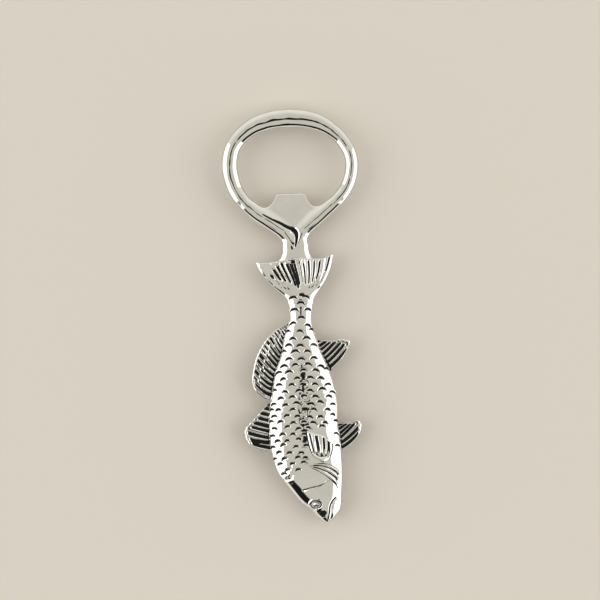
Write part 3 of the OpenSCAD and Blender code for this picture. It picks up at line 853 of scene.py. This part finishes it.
def tail_fan():
    """The tail fin, dished between its root and its thick trailing edge, with its rays."""
    sizes = bpy.context.scene.opener_sizes
    u = np.sin(np.linspace(-math.pi / 2, math.pi / 2, 241))
    u = 0.55 * u + 0.45 * np.linspace(-1, 1, 241)
    v = crowded(0.97, 84, 8)
    xy = patch(smooth_curve(TAIL_LEFT, 60), smooth_curve(TAIL_RIGHT, 60),
               smooth_curve(TAIL_ROOT, 40), smooth_curve(TAIL_EDGE, 80), (u + 1) / 2, v)
    uu, vv = u[:, None], v[None, :]
    spine = np.interp(v, [0, 0.1, 0.2, 0.33, 0.5, 0.7, 0.88, 1.0],
                      [2.99, 2.96, 2.75, 2.3, 2.05, 2.15, 2.5, 2.85])[None, :]
    belly = 2.1 + 3.2 * ramp(v, 0.1, 0.6)[None, :]
    section = np.maximum(1 - np.abs(uu) ** belly, 0) ** (1 / belly)
    near_root = 1 - ramp(vv, 0.12, 0.45)
    section = near_root * FISH.section(np.abs(uu), 2.1) + (1 - near_root) * section
    height = spine * section
    drop = np.zeros(height.shape)
    for edge_at, root_at, begin, finish, wide in TAIL_GROOVES:
        centre = root_at + (edge_at - root_at) * (vv - 0.35) / 0.65
        side = 1 - ramp(np.abs(uu - centre) / wide, 0.45, 1.05)
        drop = np.maximum(drop, side * ramp(vv, begin, begin + 0.10)
                          * (1 - ramp(vv, finish - 0.03, finish)))
    crown = 0.22 * np.cos((uu + 0.8) / 1.6 * sizes.tail_rays * 2 * math.pi)
    fan = ramp(vv, 0.35, 0.7) * ramp(uu, -0.72, -0.62) * (1 - ramp(uu, 0.78, 0.88))
    marks = [m for m in scale_marks() if -55.3 < m[1] < -51.4]
    pressed, inked = mark_relief(xy[..., 0], xy[..., 1], marks, sizes.scale_depth / MM)
    spot = 1 - ramp(np.hypot((xy[..., 0] - 3.2) / 1.5, (xy[..., 1] + 51.2) / 0.85), 0.6, 1.0)
    height = height - 0.5 * drop - crown * fan * 0.5 - pressed - 0.2 * spot
    rim = np.sqrt(np.clip(1 - (np.clip(vv - 0.965, 0, 1) / 0.035) ** 2, 0.0, 1))
    height = np.maximum(height * (0.80 + 0.20 * rim), 0.02)
    height[[0, -1], :] = 0
    black = np.maximum(ramp(drop, 0.2, 0.6), np.maximum(inked, spot))
    return sheet_mesh(xy, height, black, (False, False, True, True))


# ---------------------------------------------------------------- fins along the edges


def fin_blade(root, top, end, rays, seed, groove=0.40, lean=1.0, reach=(0.86, 0.93),
              taper=0.0, scallop=0.0):
    """A rayed fin between its root in the body, its outer edge and its leading edge."""
    thick = bpy.context.scene.opener_sizes.fin_thickness / MM / 2
    rng = np.random.default_rng(seed)
    u = crowded(0.96, max(90, rays * 11), 7)
    v = crowded(0.93, 44, 8)
    outer = smooth_curve(top, 200)
    share = np.linspace(0, 1, 200)
    outer = np.column_stack([np.interp(share**lean, share, column) for column in outer.T])
    xy = patch([root[0], top[0]], smooth_curve(end, 50), smooth_curve(root, 60), outer, u, v,
               hold=2.5)
    uu, vv = u[:, None], v[None, :]
    if scallop:
        ray = xy[:, -1] - xy[:, -9]
        ray = ray / np.maximum(np.linalg.norm(ray, axis=1, keepdims=True), 1e-6)
        bump = np.abs(np.sin(uu * rays * math.pi)) - 0.6
        swell = scallop * bump * ramp(vv, 0.6, 1.0) * (1 - ramp(uu, 0.9, 1))
        xy = xy + swell[..., None] * ray[:, None]
    drop = np.zeros((len(u), len(v)))
    for k in range(rays):
        centre = (k + 0.5) / rays * 0.965 + rng.normal(0, 0.06 / rays)
        wide = groove / rays * rng.uniform(0.85, 1.15)
        begin = rng.uniform(0.02, 0.08)
        finish = rng.uniform(*reach)
        swing = (vv - begin) * rng.normal(0, 0.12 / rays)
        narrowing = 1 - taper * np.clip(vv / finish, 0, 1)
        across = 1 - ramp(np.abs(uu - centre - swing) / (wide * narrowing), 0.45, 1.05)
        length = ramp(vv, begin - 0.03, begin + 0.09) * (1 - ramp(vv, finish - 0.10, finish))
        drop = np.maximum(drop, across * length)
        if taper:
            # A hairline between two rays, out toward the edge.
            start = rng.uniform(0.25, 0.6)
            hair = 1 - ramp(np.abs(uu - centre - 0.5 / rays - swing) / (0.26 * wide), 0.4, 1.0)
            hair = hair * ramp(vv, start, start + 0.08) * (1 - ramp(vv, 0.84, 0.93))
            drop = np.maximum(drop, 0.55 * hair)
    height = thick * (1 - 0.06 * np.cos(uu * 2 * math.pi)) + 0 * vv
    height = height - 0.42 * drop
    rim_v = np.sqrt(np.clip(1 - (np.clip(vv - 0.92, 0, 1) / 0.08) ** 2, 0, 1))
    rim_u = np.sqrt(np.clip(1 - (np.clip(uu - 0.955, 0, 1) / 0.045) ** 2, 0, 1))
    height = height * (0.35 + 0.65 * np.minimum(rim_v, 1)) * (0.35 + 0.65 * rim_u)
    # The black in the grooves is patina; the black band along the root is painted shade where the fin
    # meets the body.
    black = np.maximum(ramp(drop, 0.25, 0.7), 1 - ramp(vv, 0.12, 0.18))
    return sheet_mesh(xy, height, black, (True, True, True, True))


FINS = {
    "soft_dorsal": dict(
        root=[(-2.2, -62.0), (-3.6, -69.0), (-5.6, -77.0), (-7.8, -84.5), (-9.2, -92.8)],
        top=[(-3.6, -63.2), (-7, -64.5), (-10.7, -67.6), (-13.6, -71.5), (-15.7, -75.8),
             (-17, -80.5), (-17.5, -84.5), (-17.1, -87.6)],
        end=[(-9.2, -92.8), (-12.2, -92.4), (-15.3, -90.1), (-17.1, -87.6)],
        rays=17, seed=31, groove=0.50, lean=1.55, reach=(0.55, 0.90), taper=0.6, scallop=0.15),
    "spiny_dorsal": dict(
        root=[(-9.6, -93.6), (-10.0, -99.0), (-10.2, -106.0), (-9.4, -113.6)],
        top=[(-11.0, -93.6), (-13.9, -96.5), (-16.8, -99.6), (-19.6, -102.3), (-21.0, -104.6),
             (-20.5, -107.8), (-18.9, -110.6)],
        end=[(-9.4, -113.6), (-12.5, -113.0), (-15.8, -112.2), (-18.9, -110.6)],
        rays=9, seed=32, groove=0.42, scallop=0.25),
    "anal_fin": dict(
        root=[(7.4, -69.6), (8.9, -73.5), (10.8, -78.0), (12.6, -82.6)],
        top=[(9.2, -69.4), (12.0, -69.6), (15.1, -69.6), (18.2, -69.2), (21.7, -70.0),
             (21.0, -72.6)],
        end=[(12.6, -82.6), (16.4, -79.4), (19.2, -76.0), (21.0, -72.6)],
        rays=7, seed=33, groove=0.42, lean=0.95, scallop=0.3),
    "pelvic_fin": dict(
        root=[(15.2, -102.8), (15.6, -106.5), (16.0, -110.2), (15.9, -114.2)],
        top=[(16.8, -102.9), (18.9, -102.6), (21.7, -102.1), (24.1, -101.4), (25.4, -103.4),
             (24.9, -106.5)],
        end=[(15.9, -114.2), (19.4, -112.4), (22.4, -109.9), (24.9, -106.5)],
        rays=6, seed=34, groove=0.42, lean=0.95, scallop=0.2),
}


# ---------------------------------------------------------------- flank and head pieces


def flank_sheet(xy, proud, patina_and_shade, flank, sunk=0.5):
    """A thin piece that follows the fish's flank: proud above it, and sunk into it below."""
    skin = FISH.height(xy[..., 0], xy[..., 1])
    points, faces, black = sheet_mesh(xy, skin + proud, patina_and_shade, (True, True, True, True),
                                      lift=skin - sunk)
    if flank < 0:
        points = points * (1, 1, -1)
        faces = [f[::-1] for f in faces]
    return points, faces, black


def pectoral_fin(flank):
    """The side fin: a fleshy base and five rays that fan out and stand off the flank."""
    base = [(8.0, -116.6), (9.8, -117.6), (11.6, -116.9)]
    left = [(8.0, -116.6), (6.0, -115.2), (4.7, -112.6), (3.75, -109.0), (3.05, -104.9)]
    right = [(11.6, -116.9), (12.8, -115.6), (13.6, -113.4), (13.9, -110.6)]
    tip = [(3.05, -104.9), (4.2, -105.1), (6.4, -106.0), (10.4, -107.2), (13.9, -110.6)]
    u = np.linspace(0, 1, 97)
    v = np.linspace(0, 1, 60)
    xy = patch(smooth_curve(left, 40), smooth_curve(right, 40), smooth_curve(base, 30),
               smooth_curve(tip, 40), u, v)
    uu, vv = u[:, None], v[None, :]
    drop = np.zeros((len(u), len(v)))
    for centre, wide in ((0.14, 0.05), (0.36, 0.085), (0.60, 0.06), (0.80, 0.085)):
        across = 1 - ramp(np.abs(uu - centre - 0.02 * np.sin(4 * vv)) / wide, 0.3, 1.0)
        drop = np.maximum(drop, across * ramp(vv, 0.22, 0.36) * (1 - ramp(vv, 0.90, 0.99)))
    knob = np.exp(-(((uu - 0.5) / 0.34) ** 2 + ((vv - 0.10) / 0.13) ** 2))
    hollow = np.exp(-(((uu - 0.5) / 0.40) ** 2 + ((vv - 0.30) / 0.065) ** 2))
    edge = np.minimum(ramp(uu, 0, 0.08) * (1 - ramp(uu, 0.92, 1.0)), 1 - ramp(vv, 0.93, 1.0))
    rise = 0.30 + 0.42 * ramp(vv, 0.2, 0.9)
    crown = 0.16 * np.cos((uu - 0.03) * 5 * 2 * math.pi) * ramp(vv, 0.2, 0.4)
    proud = 0.16 + (rise + 0.35 * knob - crown) * (0.2 + 0.8 * edge) - 0.5 * drop - 0.45 * hollow
    proud = np.minimum(proud, 0.82)
    # The black in the ray grooves is patina; the black in the hollow at the base is painted shade.
    black = np.maximum(ramp(drop, 0.3, 0.7), ramp(hollow, 0.4, 0.75))
    # Painted shadow: a black border along the fin's base and sides, where it meets the flank.
    border = np.maximum(1 - ramp(uu, 0.02, 0.075), 1 - ramp(vv, 0.01, 0.06))
    border = np.maximum(border, 1 - ramp(1 - uu, 0.02, 0.07))
    black = np.maximum(black, border)
    return flank_sheet(xy, proud, black, flank)


def gill_cover(flank):
    """The gill cover's rear edge: raised ridges that sweep from the cheek to the throat."""
    rear = [(3.0, -118.9), (6.0, -118.1), (9.8, -118.0), (13.0, -118.9), (15.3, -120.4),
            (16.5, -122.6)]
    front = [(3.0, -118.9), (6.0, -120.2), (9.6, -122.3), (12.3, -124.5), (14.3, -126.6),
             (15.4, -128.4)]
    u = np.linspace(0, 1, 150)
    v = np.linspace(0, 1, 60)
    xy = patch([rear[0], front[0]], [rear[-1], front[-1]], smooth_curve(rear, 80),
               smooth_curve(front, 80), u, v)
    uu, vv = u[:, None], v[None, :]
    ends = ramp(uu, 0.0, 0.3) * (1 - ramp(uu, 0.86, 1.0))
    ridges = 0.5 - 0.5 * np.cos(vv**0.85 * 3 * 2 * math.pi)
    proud = 0.03 + ends * (0.12 + 0.5 * ridges)
    groove = ramp(1 - ridges, 0.74, 0.95) * ramp(ends, 0.35, 0.9)
    groove = np.maximum(groove, ramp(vv, 0.90, 0.95) * ramp(uu, 0.05, 0.2))
    return flank_sheet(xy, proud, groove, flank)


def lower_jaw():
    """The lower jaw, a little proud of the head on the belly side of the mouth."""
    grow = 0.10
    v = np.linspace(0, 1, 46)
    u = crowded(0.7, 26, 24)
    cleft = smooth_curve([(p[0] + 0.42, p[1]) for p in MOUTH], len(v))
    along = -cleft[:, 1]
    middle, deep, thick, square, _ = FISH.at(along)
    edge = np.column_stack([middle + deep + grow, cleft[:, 1]])
    edge[:, 0] = np.maximum(edge[:, 0], cleft[:, 0] + 0.05)
    xy = (1 - u)[:, None, None] * cleft[None] + u[:, None, None] * edge[None]
    across = np.clip(np.abs(xy[..., 0] - middle) / (deep + grow), 0, 1)
    height = grow + FISH.half_height(across, along, deep + grow, thick, square, 0.0)
    fade = np.minimum(ramp(v, 0, 0.12), 1 - ramp(v, 0.82, 1.0))[None, :]
    swell = 0.24 * np.sin(math.pi * u[:, None]) ** 0.8 * fade
    height = height + swell - 0.22 * (1 - fade) - 0.12 * (1 - ramp(u, 0, 0.12))[:, None]
    height = np.maximum(height, 0.02)
    height[-1, :] = 0
    return sheet_mesh(xy, height, np.zeros(height.shape), (True, False, True, True))


# The eye from its middle out: share of its reach, height over the skin, blackness. The black in the
# groove is patina; the black from 0.91 out and underneath is painted shade where the eye meets the
# skin.
EYE_PROFILE = [(0.0, 0.36, 0), (0.14, 0.35, 0), (0.28, 0.32, 0), (0.42, 0.27, 0), (0.54, 0.19, 0),
               (0.61, 0.10, 0.9), (0.66, 0.04, 1), (0.71, 0.08, 1), (0.75, 0.22, 0.4),
               (0.81, 0.30, 0), (0.86, 0.29, 0), (0.91, 0.24, 0.5), (0.96, 0.14, 1),
               (1.0, 0.0, 1), (1.0, -0.7, 1)]


def eye(flank):
    """A round eye: a raised rim, a black ring, a polished dome and painted shade round its foot."""
    reach, rise, black = np.array(EYE_PROFILE).T
    fine = np.linspace(0, len(reach) - 1, 56)
    steps = np.arange(len(reach))
    reach, rise, black = (np.interp(fine, steps, a) for a in (reach, rise, black))
    turns = 72
    angle = np.arange(turns) / turns * 2 * math.pi
    x = EYE_AT[0] + EYE_RADIUS * reach[1:, None] * np.cos(angle)
    y = EYE_AT[1] + EYE_RADIUS * EYE_SQUASH * reach[1:, None] * np.sin(angle)
    small = 0.02
    here = FISH.height(np.array(EYE_AT[0]), np.array(EYE_AT[1]))
    slope_x = (FISH.height(np.array(EYE_AT[0] + small), np.array(EYE_AT[1])) - here) / small
    slope_y = (FISH.height(np.array(EYE_AT[0]), np.array(EYE_AT[1] + small)) - here) / small
    z = here + slope_x * (x - EYE_AT[0]) + slope_y * (y - EYE_AT[1]) + rise[1:, None]
    z = np.minimum(z, here + 1.6)
    points = np.vstack([np.column_stack([x.ravel(), y.ravel(), z.ravel()]),
                        [[*EYE_AT, here + rise[0]], [*EYE_AT, here - 1.0]]])
    rings = len(reach) - 1
    index = np.arange(rings * turns).reshape(rings, turns)
    after = np.roll(index, -1, 1)
    faces = np.stack([index[:-1], index[1:], after[1:], after[:-1]], -1).reshape(-1, 4).tolist()
    top, bottom = rings * turns, rings * turns + 1
    for j in range(turns):
        faces.append([top, int(index[0, j]), int(after[0, j])])
        faces.append([bottom, int(after[-1, j]), int(index[-1, j])])
    shade = np.concatenate([np.repeat(black[1:], turns), [0, 0]])
    if flank < 0:
        points = points * (1, 1, -1)
        faces = [f[::-1] for f in faces]
    return points, faces, shade


# ---------------------------------------------------------------- stage


OVERHEAD = (0.69, 0.672, 0.595, 1)
AROUND_RING = (0.98, 0.955, 0.89, 1)
SOFT_BOX = (2.1, 2.1, 2.08, 1)
DARK_SCREEN = (0.012, 0.012, 0.014, 1)
DARK_GAP = (0.015, 0.015, 0.015, 1)
BACKDROP = (0.86, 0.86, 0.85, 1)


def studio_light():
    """Soft boxes left and right, a grey card overhead with a small dark gap in its middle, and a
    dark screen in front of the snout."""
    world = bpy.data.worlds.new("studio")
    bpy.context.scene.world = world
    world.use_nodes = True
    tree = world.node_tree
    sums = NodeSums(tree)
    do = sums.do
    place = tree.nodes.new("ShaderNodeTexCoord")
    parts = tree.nodes.new("ShaderNodeSeparateXYZ")
    tree.links.new(place.outputs["Generated"], parts.inputs[0])
    x, y, z = parts.outputs
    aside = do("MAXIMUM", do("ABSOLUTE", x), 1e-4)
    flat = do("MAXIMUM", do("SQRT", do("ADD", do("MULTIPLY", x, x), do("MULTIPLY", y, y))), 1e-4)
    y_aside, z_aside = do("DIVIDE", y, aside), do("DIVIDE", z, aside)
    z_flat, y_flat, x_flat = do("DIVIDE", z, flat), do("DIVIDE", y, flat), do("DIVIDE", aside, flat)
    on_left = do("LESS_THAN", x, 0.0)
    on_right = do("SUBTRACT", 1.0, on_left)
    left = do("MULTIPLY", on_left, do("MULTIPLY", sums.between(y_aside, -0.75, 0.60, 0.02),
                                      sums.between(z_aside, -0.25, 1.55, 0.03)))
    right = do("MULTIPLY", on_right, do("MULTIPLY", sums.between(y_aside, -0.86, 0.50, 0.03),
                                        sums.between(z_aside, -0.45, 1.45, 0.04)))
    # The dark screen, from just above the floor to a little over halfway up.
    low_edge = do("SUBTRACT", 0.42, do("MULTIPLY", x_flat, 0.12))
    above = sums.rise(do("SUBTRACT", z_flat, low_edge), -0.03, 0.03)
    dark = do("MULTIPLY", sums.fall(y_flat, -0.66, -0.60),
              do("MULTIPLY", above, sums.fall(z_flat, 1.10, 1.18)))
    gap = sums.rise(z, math.cos(math.radians(6.2)), math.cos(math.radians(5.4)))
    behind = do("MULTIPLY", sums.rise(y_flat, 0.1, 0.8), sums.fall(z_flat, 0.3, 2.2))
    behind = do("MAXIMUM", behind, sums.fall(z_flat, 0.05, 0.5))
    colour = sums.blend(behind, OVERHEAD, AROUND_RING)
    for mask, light in ((left, SOFT_BOX), (right, SOFT_BOX), (dark, DARK_SCREEN), (gap, DARK_GAP)):
        colour = sums.blend(mask, colour, light)
    seen = tree.nodes.new("ShaderNodeLightPath")
    colour = sums.blend(seen.outputs["Is Camera Ray"], colour, BACKDROP)
    tree.links.new(colour, tree.nodes["Background"].inputs["Color"])


def floor_plane():
    """A pale, smooth floor for the opener to lie on."""
    colours = bpy.context.scene.opener_colours
    mesh = bpy.data.meshes.new("floor")
    half = 1.5
    mesh.from_pydata([(-half, -half, 0), (half, -half, 0), (half, half, 0), (-half, half, 0)],
                     [], [(0, 1, 2, 3)])
    floor = bpy.data.objects.new("floor", mesh)
    bpy.context.scene.collection.objects.link(floor)
    material = bpy.data.materials.new("floor")
    material.use_nodes = True
    shader = material.node_tree.nodes["Principled BSDF"]
    shader.inputs["Base Color"].default_value = (*colours.floor, 1)
    shader.inputs["Roughness"].default_value = 0.85
    shader.inputs["Specular IOR Level"].default_value = 0.2
    mesh.materials.append(material)


def add_camera():
    """A long lens straight overhead, turned a little so that the opener leans."""
    data = bpy.data.cameras.new("camera")
    data.lens = 135
    data.sensor_width = 36
    frame_width = 0.2382
    camera = bpy.data.objects.new("camera", data)
    away = frame_width / data.sensor_width * data.lens
    camera.location = (0.0024, 0.00645, MID_Z * MM + away)
    camera.rotation_euler = (0, 0, math.radians(-1.6))
    bpy.context.scene.collection.objects.link(camera)
    bpy.context.scene.camera = camera


# ---------------------------------------------------------------- operators


def place(name, made, nodes, slot, material):
    """Adds a piece that stands for CAD nodes."""
    piece = add_piece(name, *made[:3], material, *made[3:])
    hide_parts(*nodes)
    return piece


class OPENER_OT_ring(bpy.types.Operator):
    """Builds the ring, its legs and the neck"""

    bl_idname = "opener.ring"
    bl_label = "Ring"

    def execute(self, context):
        place("opener_ring_bar", ring_bar(), ["opener_ring"], "polished_nickel", polished_nickel())
        return {"FINISHED"}


class OPENER_OT_tongue(bpy.types.Operator):
    """Builds the lifting tongue"""

    bl_idname = "opener.tongue"
    bl_label = "Lifting Tongue"

    def execute(self, context):
        place("lifting_tongue_plate", tongue_plate(), ["lifting_tongue"], "polished_nickel",
              polished_nickel())
        return {"FINISHED"}


class OPENER_OT_body(bpy.types.Operator):
    """Builds the scaled fish body"""

    bl_idname = "opener.body"
    bl_label = "Fish Body"

    def execute(self, context):
        place("fish_body_scaled", fish_skin(), ["fish_body"], "antiqued_nickel", antiqued_nickel())
        return {"FINISHED"}


class OPENER_OT_fins(bpy.types.Operator):
    """Builds the tail fin and the fins along the back and belly"""

    bl_idname = "opener.fins"
    bl_label = "Fins"

    def execute(self, context):
        place("tail_fin_fan", tail_fan(), ["tail_fin"], "antiqued_nickel", antiqued_nickel())
        for fin, shape in FINS.items():
            node = fin if fin.endswith("_fin") else fin + "_fin"
            place(f"{fin}_rays", fin_blade(**shape), [node], "antiqued_nickel", antiqued_nickel())
        return {"FINISHED"}


class OPENER_OT_flanks(bpy.types.Operator):
    """Builds the side fins and gill covers on both flanks"""

    bl_idname = "opener.flanks"
    bl_label = "Side Fins and Gill Covers"

    def execute(self, context):
        for side, flank in (("left", 1), ("right", -1)):
            place(f"{side}_pectoral_rays", pectoral_fin(flank), [f"{side}_pectoral_fin"],
                  "polished_nickel", antiqued_nickel())
            place(f"{side}_gill_ridges", gill_cover(flank), [f"{side}_gill_cover"],
                  "polished_nickel", antiqued_nickel())
        return {"FINISHED"}


class OPENER_OT_head(bpy.types.Operator):
    """Builds the lower jaw and the eyes"""

    bl_idname = "opener.head"
    bl_label = "Jaw and Eyes"

    def execute(self, context):
        place("lower_jaw_cast", lower_jaw(), ["lower_jaw"], "polished_nickel", polished_nickel())
        for side, flank in (("left", 1), ("right", -1)):
            place(f"{side}_eye_ring", eye(flank), [f"{side}_eye"], "black_patina", antiqued_nickel())
        return {"FINISHED"}


class OPENER_OT_stage(bpy.types.Operator):
    """Sets the floor, the light and the camera"""

    bl_idname = "opener.stage"
    bl_label = "Stage"

    def execute(self, context):
        floor_plane()
        studio_light()
        add_camera()
        context.scene.view_settings.view_transform = "Standard"
        return {"FINISHED"}


OPERATORS = (OPENER_OT_ring, OPENER_OT_tongue, OPENER_OT_body, OPENER_OT_fins, OPENER_OT_flanks,
             OPENER_OT_head, OPENER_OT_stage)


class OPENER_PT_panel(bpy.types.Panel):
    """Lists the opener's sizes, colours and building steps"""

    bl_idname = "OPENER_PT_panel"
    bl_label = "Bottle Opener"
    bl_space_type = "VIEW_3D"
    bl_region_type = "UI"
    bl_category = "Opener"

    def draw(self, context):
        for group in (context.scene.opener_sizes, context.scene.opener_colours):
            box = self.layout.box()
            for key in group.__annotations__:
                box.prop(group, key)
        for operator in OPERATORS:
            self.layout.operator(operator.bl_idname)


CLASSES = (OpenerSizes, OpenerColours, *OPERATORS, OPENER_PT_panel)


def register():
    for cls in CLASSES:
        bpy.utils.register_class(cls)
    bpy.types.Scene.opener_sizes = PointerProperty(type=OpenerSizes)
    bpy.types.Scene.opener_colours = PointerProperty(type=OpenerColours)


def unregister():
    del bpy.types.Scene.opener_colours
    del bpy.types.Scene.opener_sizes
    for cls in reversed(CLASSES):
        bpy.utils.unregister_class(cls)


def main():
    """Builds every piece and the stage."""
    register()
    for operator in OPERATORS:
        group, name = operator.bl_idname.split(".")
        getattr(getattr(bpy.ops, group), name)()
    bpy.context.view_layer.update()


if __name__ == "__main__":
    main()
